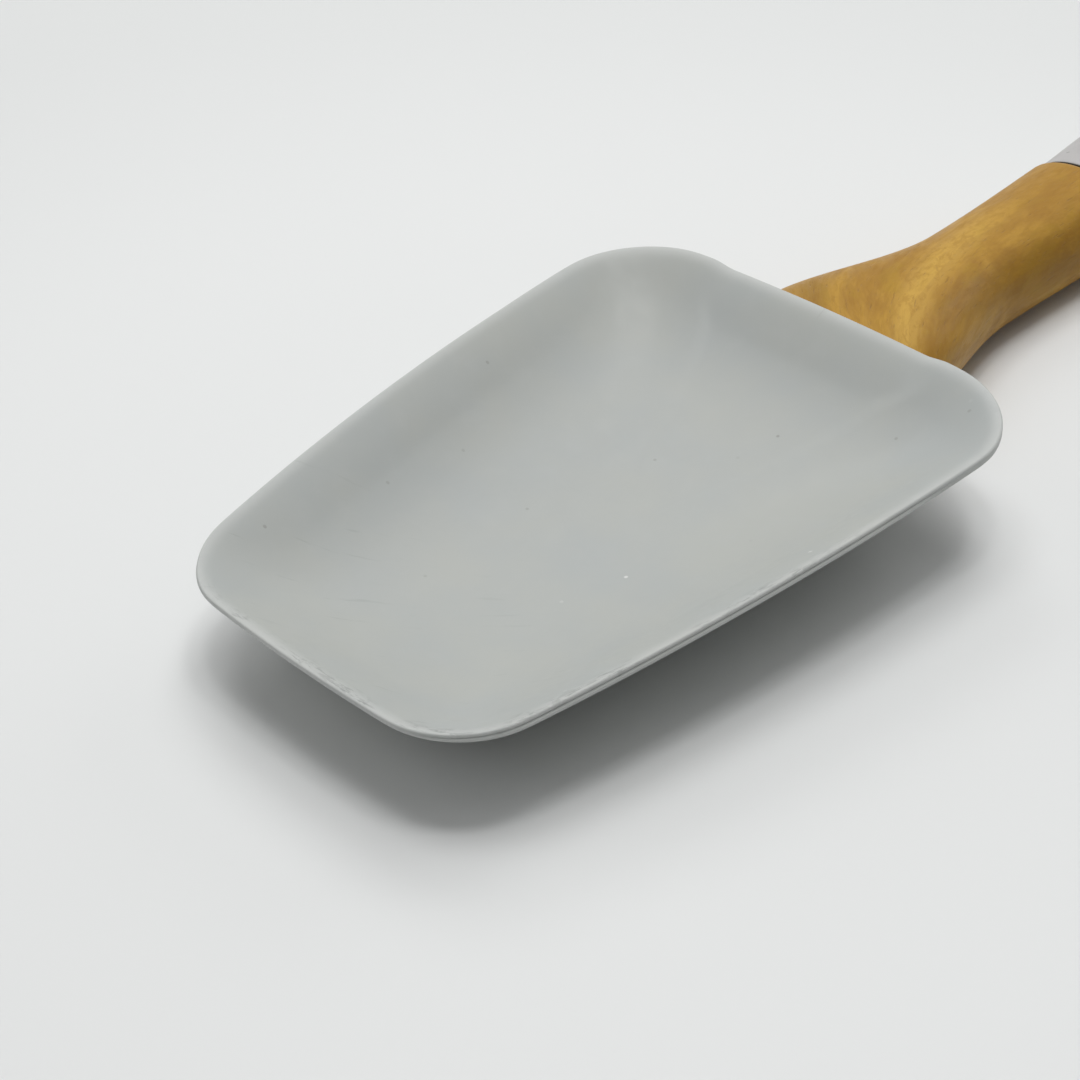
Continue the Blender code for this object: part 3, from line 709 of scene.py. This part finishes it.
# Painted highlight: a paler band along the rim, where the flattened lip catches light, broken up by the
# mottle.
edge = band(tree, from_rim, RIM_HIGHLIGHT_REACH, RIM_HIGHLIGHT_FULL)
edge = times(tree, edge, band(tree, mottle, 0.20, 0.60, 0.35, 0.65))
colour = blend(tree, edge, colour, SILICONE_RIM_HIGHLIGHT)
colour = blend(tree, times(tree, specks(tree, spot, 165.0, 0.91, 0.024), 0.8), colour, DUST_DARK)
colour = blend(tree, times(tree, specks(tree, spot, 112.0, 0.94, 0.018), 0.6), colour, DUST_LIGHT)
rubs = noise(tree, stretch(tree, rim_mark, (480.0, 3200.0, 1.0)), 1.0, 3.0, 0.6, 0.3)
rubs = band(tree, rubs, 0.54, 0.62)
worn = times(tree, band(tree, round_rim, *WORN_FROM), band(tree, round_rim, *WORN_TO))
worn = times(tree, worn, band(tree, from_rim, RUB_REACH, RUB_FULL))
worn = times(tree, worn, band(tree, from_rim, CLEAN_LIP / 4, CLEAN_LIP))
worn = times(tree, worn, band(tree, noise(tree, spot, 120.0, 2.0, 0.5), 0.42, 0.58))
rubs = times(tree, rubs, worn)
colour = blend(tree, times(tree, rubs, 0.62), colour, SCUFF)
smudges = noise(tree, stretch(tree, rim_mark, (520.0, 1100.0, 1.0)), 1.0, 3.0, 0.6, 0.5)
smudges = times(tree, band(tree, smudges, 0.48, 0.62), worn)
colour = blend(tree, times(tree, smudges, 0.42), colour, SCUFF)
wipe_place = node(tree, "ShaderNodeMapping", {"Vector": spot, "Rotation": WIPE_TURN}).outputs["Vector"]
wipes = noise(tree, stretch(tree, wipe_place, (110.0, 900.0, 1.0)), 1.0, 3.0, 0.6, 0.4)
wipes = times(tree, band(tree, wipes, 0.63, 0.72), band(tree, from_tip, WIPE_REACH, 0.4 * WIPE_REACH))
colour = blend(tree, times(tree, wipes, 0.22), colour, SCUFF)
tree.links.new(colour, shader.inputs["Base Color"])
tree.links.new(band(tree, mottle, 0.25, 0.75, 0.42, 0.54), shader.inputs["Roughness"])
skin_normal = bump(tree, grain, SKIN_GRAIN)
tree.links.new(bump(tree, times(tree, rubs, -1.0), SCUFF_DEPTH, skin_normal), shader.inputs["Normal"])
scoop.data.materials.clear()
scoop.data.materials.append(silicone)


# Neck
# One piece of oiled hardwood. It is wide and flat-topped where it meets the scoop, slims to a
# waist and swells again to the seam. It is mortised at both ends, and its edges are sanded.
wood_low, wood_high = (Vector(corner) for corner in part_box("wood_neck"))
grip_low, grip_high = (Vector(corner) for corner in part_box("grip_sleeve"))
# The handle's outline, from its waist to its rounded end
NECK_DISTANCE = 0.0327
NECK_WIDTH = 0.0173
NECK_HEIGHT = 0.0138
NECK_LIFT = -0.00005
BELLY_DISTANCE = 0.0230
BELLY_WIDTH = 0.0210
BELLY_HEIGHT = 0.0148
BELLY_LIFT = -0.0004
TAIL_WIDTH = 0.0195
TAIL_HEIGHT = 0.0122
TAIL_LIFT = 0.0015
TAIL_ROUND = 0.0100
SEAM_ROUND = 0.0013
# Grain, which sweeps outwards into the flare
GRAIN_SWEEP = 0.0125
GRAIN_SWEEP_REACH = 0.0130
GRAIN_LEAN = 0.35
GRAIN_RELIEF = 0.00006
RINGS_PER_METRE = 240.0
RING_WAVER = 1.6
# Stripes, each by its start across the grain, its drift and its half width
# A pale stripe along the ridge: painted highlight, partly paler grain
HIGHLIGHT_AND_PALE_GRAIN_STRIPE = (0.0056, 0.045, 0.0021)
# A dark stripe of painted shade on the neck's near side face
NEAR_SIDE_SHADE_STRIPE = (0.0003, -0.085, 0.0021)
# A dark stripe of painted shade along the flare's far edge
FLARE_EDGE_SHADE_STRIPE = (0.0225, 0.0, 0.0030)
STRIPE_FRAY = 0.0040
# Where they fade or rise, back from the scoop, and the browner side of the wood's rear
HIGHLIGHT_STRIPE_FADE = (0.022, 0.050)
SHADE_STRIPE_RISE = (0.002, 0.020)
REAR_RISE = (0.030, 0.046)
REAR_SIDE = (-0.001, 0.002)
# Over this length before the seam the wood turns darker
SEAM_DARKENING_REACH = 0.0012
# Colours
WOOD_BROWN = (0.335, 0.165, 0.009)
WOOD_TAN = (0.460, 0.252, 0.024)
WOOD_OLIVE = (0.385, 0.215, 0.008)
WOOD_LIGHT = (0.600, 0.362, 0.062)
WOOD_UMBER = (0.205, 0.100, 0.004)
WOOD_DARK = (0.225, 0.100, 0.012)
WOOD_PORE = (0.120, 0.052, 0.008)
# Mesh
NECK_RINGS = 140
HANDLE_STEPS = 160
# Stations along the handle: the scoop's collar, the waist, the belly and the rounded end
STATIONS = (COLLAR_X, TIP_X + HEAD_LENGTH + NECK_DISTANCE, grip_low.x + BELLY_DISTANCE,
            grip_high.x - TAIL_ROUND)
WIDTHS = (FLARE_WIDTH, NECK_WIDTH, BELLY_WIDTH, TAIL_WIDTH)
HEIGHTS = (FLARE_HEIGHT, NECK_HEIGHT, BELLY_HEIGHT, TAIL_HEIGHT)
LIFTS = (FLARE_LIFT, NECK_LIFT, BELLY_LIFT, TAIL_LIFT)


def between(x, values):
    """A value at each x that eases from each station's value to the next one's."""
    k = np.clip(np.searchsorted(STATIONS, x) - 1, 0, len(STATIONS) - 2)
    places, values = np.array(STATIONS), np.array(values)
    t = ease((x - places[k]) / (places[k + 1] - places[k]))
    return values[k] + (values[k + 1] - values[k]) * t


def handle_rings(x, inset):
    """The handle's outline at each x, drawn in by an inset: ovals whose sizes ease between stations."""
    half_width = between(x, WIDTHS) / 2
    bottom = between(x, LIFTS)
    top = bottom + between(x, HEIGHTS)
    squareness = between(x, (FLARE_SQUARENESS, NECK_SQUARENESS, NECK_SQUARENESS, NECK_SQUARENESS))
    return ovals(x, half_width - inset, bottom + inset, top - inset, squareness, HANDLE_STEPS)


neck_x, neck_inset = rounded_ends(wood_low.x, wood_high.x, EDGE_ROUND, SEAM_ROUND, NECK_RINGS)
neck = closed_body("neck", handle_rings(neck_x, neck_inset))
neck.data.set_sharp_from_angle(angle=SOFT_CREASE)
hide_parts("wood_neck")
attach(neck, "root")

wood, tree, shader = principled("oiled_wood", 0.42, Specular_IOR_Level=0.22)
spot = node(tree, "ShaderNodeTexCoord").outputs["Object"]
x, y, z = node(tree, "ShaderNodeSeparateXYZ", {"Vector": spot}).outputs
back = math_node(tree, "SUBTRACT", x, wood_low.x)
sweep = math_node(tree, "EXPONENT", math_node(tree, "DIVIDE", back, -GRAIN_SWEEP_REACH))
across = math_node(tree, "ADD", y, times(tree, sweep, GRAIN_SWEEP))
across = math_node(tree, "ADD", across, times(tree, z, GRAIN_LEAN))
grain_place = node(tree, "ShaderNodeCombineXYZ", {"X": x, "Y": across, "Z": z}).outputs["Vector"]


def stripe(start, drift, half_width):
    """A stripe along the wood, from 0 beside it to 1 in its middle.

    It starts at a place across the grain and drifts in proportion as it runs back. Its edges
    fade from a third of its half width to twice it, frayed by the clouds.
    """
    line = math_node(tree, "ADD", times(tree, back, drift), start)
    away = math_node(tree, "ABSOLUTE", math_node(tree, "SUBTRACT", across, line))
    fray = times(tree, math_node(tree, "SUBTRACT", clouds, 0.5), STRIPE_FRAY)
    return band(tree, math_node(tree, "ADD", away, fray), 2.0 * half_width, 0.3 * half_width)


waver = noise(tree, stretch(tree, grain_place, (0.35, 1.0, 1.0)), 90.0, 3.0, 0.55)
ring = math_node(tree, "ADD", times(tree, across, RINGS_PER_METRE), times(tree, waver, RING_WAVER))
ring = math_node(tree, "FRACT", ring)
late = math_node(tree, "SUBTRACT", band(tree, ring, 0.35, 0.92), band(tree, ring, 0.94, 1.0))
streaks = noise(tree, stretch(tree, grain_place, (0.26, 1.0, 1.0)), 1000.0, 4.0, 0.62, 0.6)
speckle = noise(tree, stretch(tree, grain_place, (0.60, 1.0, 1.0)), 800.0, 4.0, 0.68, 0.5)
clouds = noise(tree, stretch(tree, grain_place, (0.5, 1.0, 1.0)), 150.0, 4.0, 0.62, 0.6)
patches = noise(tree, stretch(tree, grain_place, (0.6, 1.0, 1.0)), 260.0, 3.0, 0.55, 0.8)
pores = band(tree, noise(tree, stretch(tree, grain_place, (0.16, 1.0, 1.0)), 2400.0, 2.0, 0.7), 0.60, 0.74)
colour = blend(tree, band(tree, clouds, 0.36, 0.64), WOOD_BROWN, WOOD_TAN)
colour = blend(tree, times(tree, band(tree, patches, 0.52, 0.68), 0.65), colour, WOOD_OLIVE)
# Painted highlight along the neck's ridge, partly paler grain, fading towards the rear.
highlight_stripe_share = band(tree, back, *HIGHLIGHT_STRIPE_FADE, 0.74, 0.14)
colour = blend(tree, times(tree, stripe(*HIGHLIGHT_AND_PALE_GRAIN_STRIPE), highlight_stripe_share), colour, WOOD_LIGHT)
# Painted shade on the neck's near side face, rising towards the waist.
shade_stripe_share = band(tree, back, *SHADE_STRIPE_RISE, 0.15, 0.68)
colour = blend(tree, times(tree, stripe(*NEAR_SIDE_SHADE_STRIPE), shade_stripe_share), colour, WOOD_UMBER)
# Painted shade along the flare's far edge.
colour = blend(tree, times(tree, stripe(*FLARE_EDGE_SHADE_STRIPE), 0.45), colour, WOOD_UMBER)
rear_share = times(tree, band(tree, back, *REAR_RISE, 0.0, 0.38), band(tree, across, *REAR_SIDE))
colour = blend(tree, rear_share, colour, WOOD_BROWN)
colour = blend(tree, times(tree, late, 0.16), colour, WOOD_DARK)
colour = blend(tree, times(tree, band(tree, streaks, 0.45, 0.68), 0.20), colour, WOOD_DARK)
colour = blend(tree, times(tree, band(tree, speckle, 0.48, 0.64), 0.44), colour, WOOD_BROWN)
colour = blend(tree, times(tree, pores, 0.30), colour, WOOD_PORE)
# The wood turns darker over its last millimetre or so before the seam.
seam_darkening = band(tree, x, wood_high.x - SEAM_DARKENING_REACH, wood_high.x - 0.3 * SEAM_DARKENING_REACH)
colour = blend(tree, times(tree, seam_darkening, 0.80), colour, WOOD_PORE)
tree.links.new(colour, shader.inputs["Base Color"])
tree.links.new(band(tree, streaks, 0.25, 0.80, 0.34, 0.52), shader.inputs["Roughness"])
relief = math_node(tree, "SUBTRACT", streaks, times(tree, pores, 0.6))
tree.links.new(bump(tree, relief, GRAIN_RELIEF), shader.inputs["Normal"])
neck.data.materials.append(wood)


# Grip
# A soft grey sleeve moulded over the grip's stiff core. It is hollow, closed by a rounded end,
# and lines the hole that the spoon hangs by, which opens into a flat ring above and below.
SLEEVE_WALL = 0.0016
# The mouth at the seam
MOUTH_ROUND = 0.0005
MOUTH_STEP = 0.0004
MOUTH_REACH = 0.0150
# The hang hole and the flat ring round it
HANG_HOLE_RADIUS = 0.0035
HANG_HOLE_SETBACK = 0.0115
HANG_LAND_WIDTH = 0.0030
HANG_LAND_DEPTH = 0.0004
HOLE_ROUND = 0.0007
LAND_ROUND = 0.0004
CUT_PAST = 0.0030
# Mesh
GRIP_RINGS = 150
TAIL_RINGS = 40
HOLLOW_RINGS = 60
HOLE_STEPS = 72
CUT_CREASE = math.radians(30)
# Colours
GRIP_GREY = (0.412, 0.402, 0.396)
GRIP_LIGHT = (0.452, 0.440, 0.433)
# Places
HOLE_X = grip_high.x - HANG_HOLE_SETBACK
LIFT_AT_HOLE = between(HOLE_X, LIFTS)
HEIGHT_AT_HOLE = between(HOLE_X, HEIGHTS)


def tail_rings(inset):
    """The grip's rounded end: width falls as a circle's, and height as the circle's root."""
    turn = np.linspace(0, math.pi / 2, TAIL_RINGS)[1:-1]
    x = grip_high.x - TAIL_ROUND + (TAIL_ROUND - inset) * np.sin(turn)
    half_width = (TAIL_WIDTH / 2 - inset) * np.cos(turn)
    half_height = (TAIL_HEIGHT / 2 - inset) * np.sqrt(np.cos(turn))
    middle = TAIL_LIFT + TAIL_HEIGHT / 2
    return ovals(x, half_width, middle - half_height, middle + half_height, NECK_SQUARENESS, HANDLE_STEPS)


def turned(name, profile, centre_x, steps=HOLE_STEPS):
    """A body turned about an upright axis from a profile of (radius, height), bottom to top."""
    turn = 2 * math.pi * np.arange(steps) / steps
    radius, height = np.array(profile).T[..., None]
    rings = np.stack([centre_x + radius * np.cos(turn), radius * np.sin(turn), height + 0 * turn], axis=-1)
    return closed_body(name, rings)


def hole_profile():
    """The hang hole's wall, cut from below to above the grip.

    A quarter round widens each mouth to a flat ring, which ends in a smaller quarter round.
    """
    turn = np.linspace(0, math.pi / 2, ROUND_STEPS)
    across, down = 1 - np.cos(turn), 1 - np.sin(turn)
    top = LIFT_AT_HOLE + HEIGHT_AT_HOLE - HANG_LAND_DEPTH
    land = HANG_HOLE_RADIUS + HANG_LAND_WIDTH
    mouth = np.stack([HANG_HOLE_RADIUS + HOLE_ROUND * across, top - HOLE_ROUND * down], axis=1)
    step = np.stack([land - LAND_ROUND * down, top + LAND_ROUND * across], axis=1)
    upper = np.concatenate([mouth, step, [(land + LAND_ROUND, top + CUT_PAST)]])
    middle = LIFT_AT_HOLE + HEIGHT_AT_HOLE / 2
    lower = upper[::-1] * (1, -1) + (0, 2 * middle)
    return np.concatenate([lower, upper])


outer_x, outer_inset = rounded_ends(grip_low.x, grip_high.x - TAIL_ROUND, MOUTH_ROUND, 0.0, GRIP_RINGS)
outer_inset += MOUTH_STEP * (1 - ease((outer_x - grip_low.x) / MOUTH_REACH))
grip = closed_body("grip", np.concatenate([handle_rings(outer_x, outer_inset), tail_rings(0.0)]))
inner_x = np.linspace(grip_low.x - CUT_PAST, grip_high.x - TAIL_ROUND, HOLLOW_RINGS)
inner = handle_rings(inner_x, np.full_like(inner_x, SLEEVE_WALL))
hollow = closed_body("hollow", np.concatenate([inner, tail_rings(SLEEVE_WALL)]))
lining_radius = HANG_HOLE_RADIUS + SLEEVE_WALL
lining = turned("lining", [(lining_radius, -CUT_PAST), (lining_radius, BELLY_HEIGHT + CUT_PAST)], HOLE_X)
combine(hollow, "DIFFERENCE", lining)
combine(grip, "DIFFERENCE", hollow)
combine(grip, "DIFFERENCE", turned("hang_hole", hole_profile(), HOLE_X))
grip.data.shade_smooth()
grip.data.set_sharp_from_angle(angle=CUT_CREASE)
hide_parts("grip_sleeve")
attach(grip, "root")

soft_grip, tree, shader = principled("grip_silicone", 0.55, Specular_IOR_Level=0.40)
spot = node(tree, "ShaderNodeTexCoord").outputs["Object"]
mottle = noise(tree, spot, 180.0, 3.0, 0.55)
grain = noise(tree, spot, 5200.0, 2.0, 0.6)
colour = blend(tree, band(tree, mottle, 0.35, 0.65), GRIP_GREY, GRIP_LIGHT)
colour = blend(tree, specks(tree, spot, 140.0, 0.96, 0.024), colour, DUST_DARK)
tree.links.new(colour, shader.inputs["Base Color"])
tree.links.new(band(tree, mottle, 0.25, 0.75, 0.50, 0.62), shader.inputs["Roughness"])
tree.links.new(bump(tree, grain, SKIN_GRAIN), shader.inputs["Normal"])
grip.data.materials.clear()
grip.data.materials.append(soft_grip)


# Seam
# A washer of dark rubber between the wood and the grip. Its flange fills the gap that shows as
# a thin dark line, and its body sits inside the mouth of the sleeve round the grip's tenon.
GASKET_INSET = 0.0004
GASKET_GAP = 0.00002
GASKET_STEPS = 4
PEG_CLEARANCE = 0.0003
TENON_WIDTH = 0.0112
TENON_HEIGHT = 0.0078
ROD_HEIGHT = 0.0070
RUBBER_BLACK = (0.026, 0.021, 0.014)
RUBBER_WORN = (0.062, 0.052, 0.038)
washer_low, washer_high = (Vector(corner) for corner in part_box("seam_gasket"))

flange_x = np.linspace(wood_high.x + GASKET_GAP, washer_low.x - GASKET_GAP, GASKET_STEPS)
washer_x = np.linspace(washer_low.x, washer_high.x, GASKET_STEPS)
seam_rings = np.concatenate([handle_rings(flange_x, np.full_like(flange_x, GASKET_INSET)),
                             handle_rings(washer_x, np.full_like(washer_x, SLEEVE_WALL + FIT_GAP))])
gasket = closed_body("gasket", seam_rings)
peg_x = np.array([wood_high.x - CUT_PAST, washer_high.x + CUT_PAST])
peg_half_height = TENON_HEIGHT / 2 + PEG_CLEARANCE
peg = closed_body("peg", ovals(peg_x, TENON_WIDTH / 2 + PEG_CLEARANCE, ROD_HEIGHT - peg_half_height,
                               ROD_HEIGHT + peg_half_height, NECK_SQUARENESS))
combine(gasket, "DIFFERENCE", peg)
gasket.data.shade_smooth()
gasket.data.set_sharp_from_angle(angle=CUT_CREASE)
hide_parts("seam_gasket")
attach(gasket, "root")

rubber, tree, shader = principled("gasket_rubber", 0.70, Specular_IOR_Level=0.3)
spot = node(tree, "ShaderNodeTexCoord").outputs["Object"]
grain = noise(tree, spot, 2600.0, 3.0, 0.6)
tree.links.new(blend(tree, grain, RUBBER_BLACK, RUBBER_WORN), shader.inputs["Base Color"])
tree.links.new(bump(tree, grain, 2 * SKIN_GRAIN), shader.inputs["Normal"])
gasket.data.materials.clear()
gasket.data.materials.append(rubber)


# Hidden pieces
# The nylon cores of the scoop and the grip keep their solids, with the flow marks and glass
# fibres of the moulding. The rod and its pin are drawn steel with fine lines along them.
NYLON_DARK = (0.190, 0.195, 0.195)
NYLON_LIGHT = (0.330, 0.340, 0.335)
STEEL_DARK = (0.420, 0.420, 0.430)
STEEL_LIGHT = (0.640, 0.640, 0.655)
FIBRE_RELIEF = 0.00001
DRAW_RELIEF = 0.000004

nylon, tree, shader = principled("core_nylon", 0.50)
spot = node(tree, "ShaderNodeTexCoord").outputs["Object"]
flow = noise(tree, stretch(tree, spot, (0.3, 1.0, 1.0)), 240.0, 4.0, 0.6, 1.2)
fibres = noise(tree, stretch(tree, spot, (0.15, 1.0, 1.0)), 3600.0, 2.0, 0.6)
colour = blend(tree, band(tree, flow, 0.30, 0.70), NYLON_DARK, NYLON_LIGHT)
colour = blend(tree, times(tree, band(tree, fibres, 0.60, 0.75), 0.35), colour, STEEL_LIGHT)
tree.links.new(colour, shader.inputs["Base Color"])
tree.links.new(band(tree, flow, 0.2, 0.8, 0.42, 0.58), shader.inputs["Roughness"])
tree.links.new(bump(tree, fibres, FIBRE_RELIEF), shader.inputs["Normal"])

steel, tree, shader = principled("drawn_steel", 0.30, Metallic=1.0)
spot = node(tree, "ShaderNodeTexCoord").outputs["Object"]
lines = noise(tree, stretch(tree, spot, (0.02, 1.0, 1.0)), 5000.0, 3.0, 0.6)
tree.links.new(blend(tree, band(tree, lines, 0.3, 0.7), STEEL_DARK, STEEL_LIGHT), shader.inputs["Base Color"])
tree.links.new(band(tree, lines, 0.3, 0.7, 0.22, 0.38), shader.inputs["Roughness"])
tree.links.new(bump(tree, lines, DRAW_RELIEF), shader.inputs["Normal"])

for name, finish in (("blade_core", nylon), ("grip_core", nylon), ("tang_rod", steel), ("rod_pin", steel)):
    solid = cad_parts[name]
    solid.data.materials.clear()
    solid.data.materials.append(finish)
